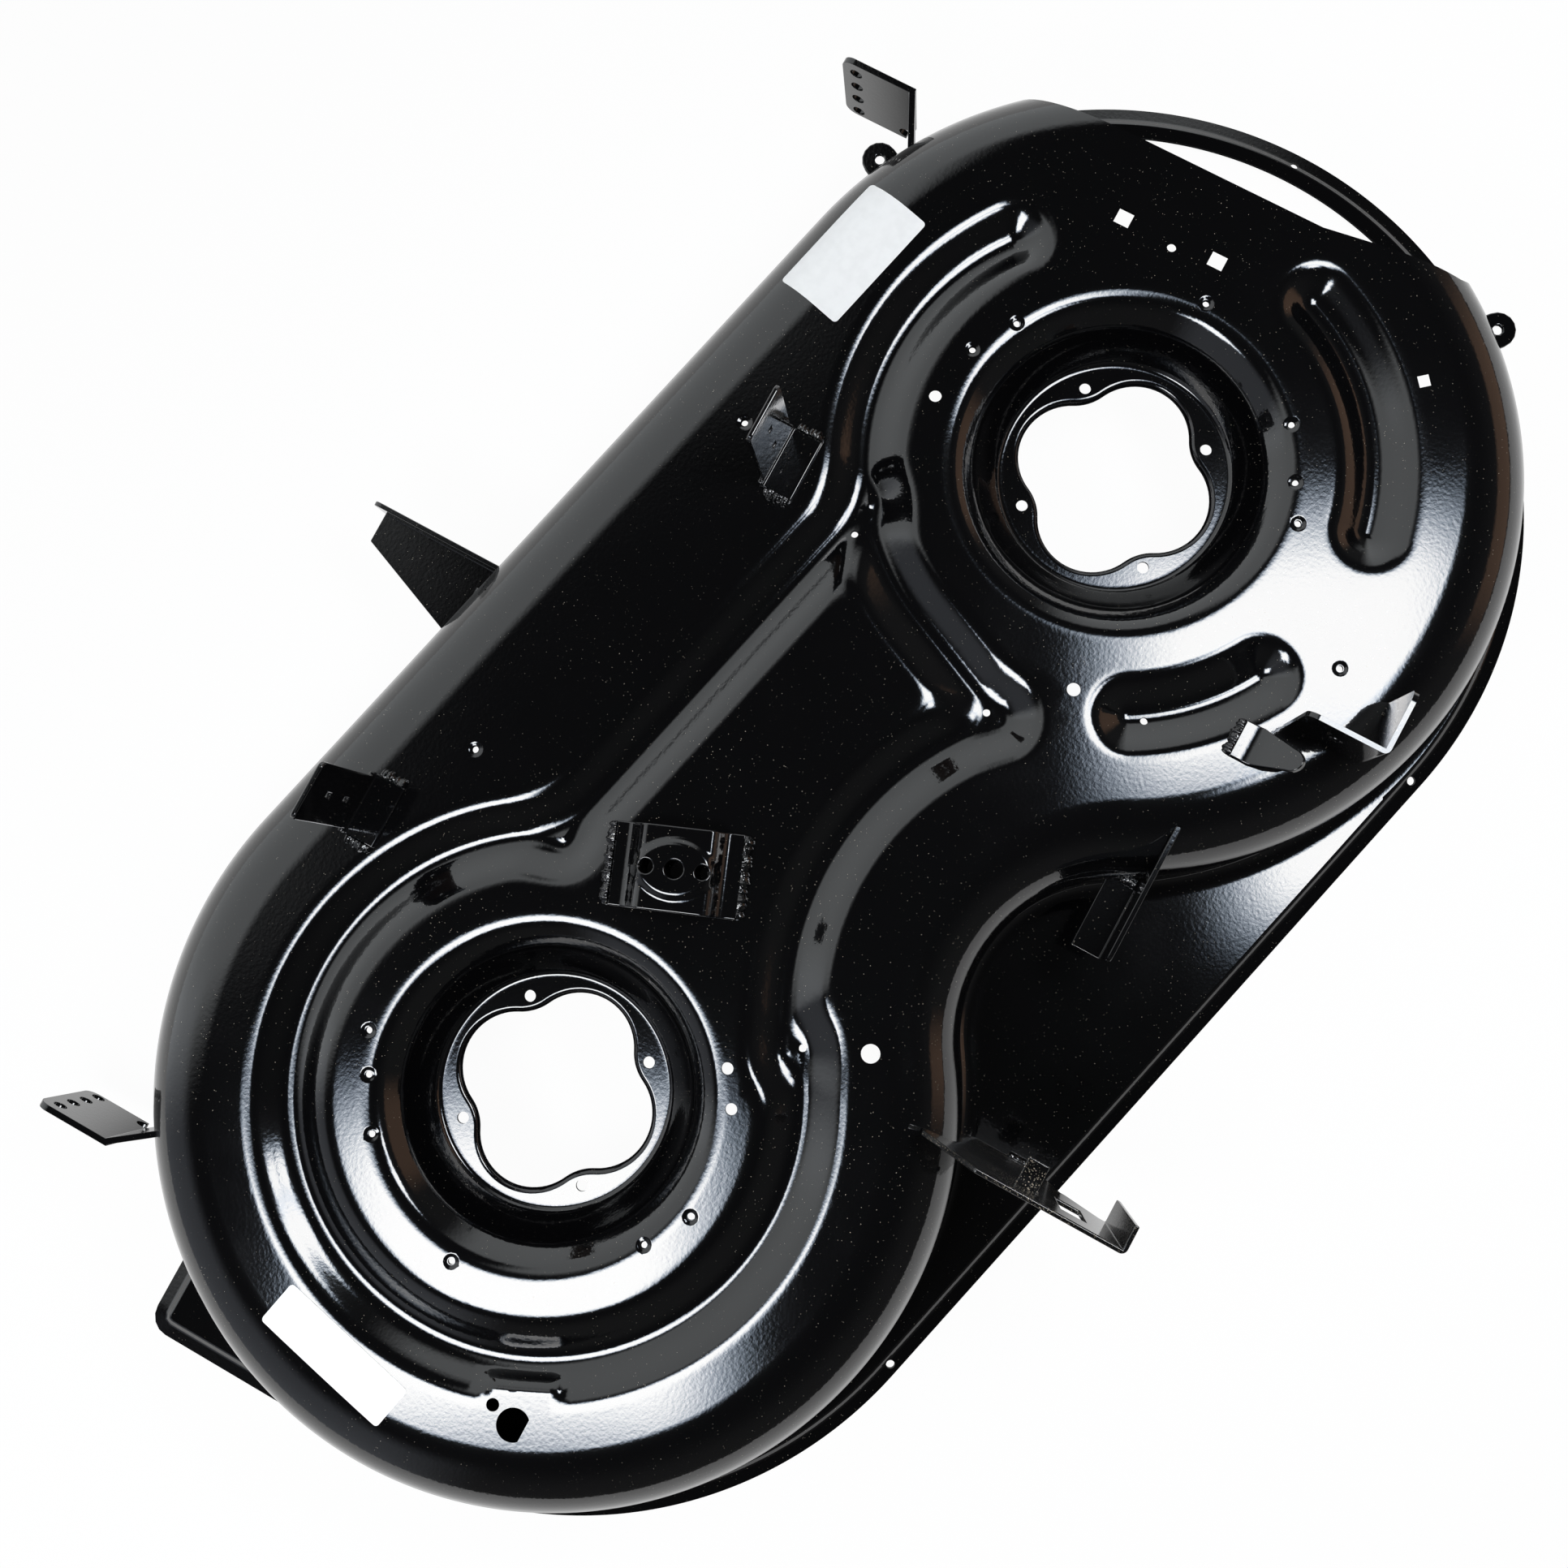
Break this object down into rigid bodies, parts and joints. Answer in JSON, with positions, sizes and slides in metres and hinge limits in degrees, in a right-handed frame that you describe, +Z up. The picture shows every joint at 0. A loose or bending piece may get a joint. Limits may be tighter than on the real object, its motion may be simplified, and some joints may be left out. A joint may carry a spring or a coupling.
{
  "type": "lawn mower deck",
  "caption": "Pressed steel mower deck with sunk spindle dishes, drainage grooves, a stepped rim, a side discharge opening and welded brackets.",
  "frame": {"origin": "centre of the left spindle's bolt circle, on the top face of its seat", "axes": "+X towards the discharge side, +Y forwards in the travel direction, +Z up"},
  "size_m": [1.0559, 0.6827, 0.2175],
  "materials": {
    "black_paint": "gloss"
  },
  "bodies": {
    "root": {"deck_shell": "black_paint", "left_gauge_bracket": "black_paint", "right_gauge_bracket": "black_paint", "front_hanger": "black_paint", "front_left_bracket": "black_paint", "front_right_bracket": "black_paint", "idler_bracket": "black_paint", "rear_right_hanger": "black_paint", "rear_right_tongue": "black_paint", "waist_bracket": "black_paint", "rear_left_hanger": "black_paint", "front_eyelet": "black_paint", "rear_eyelet": "black_paint", "front_left_welds": "black_paint", "front_right_welds": "black_paint", "idler_welds": "black_paint", "tongue_weld": "black_paint", "waist_weld": "black_paint", "front_hanger_weld": "black_paint", "rear_left_weld": "black_paint"}
  },
  "joints": []
}
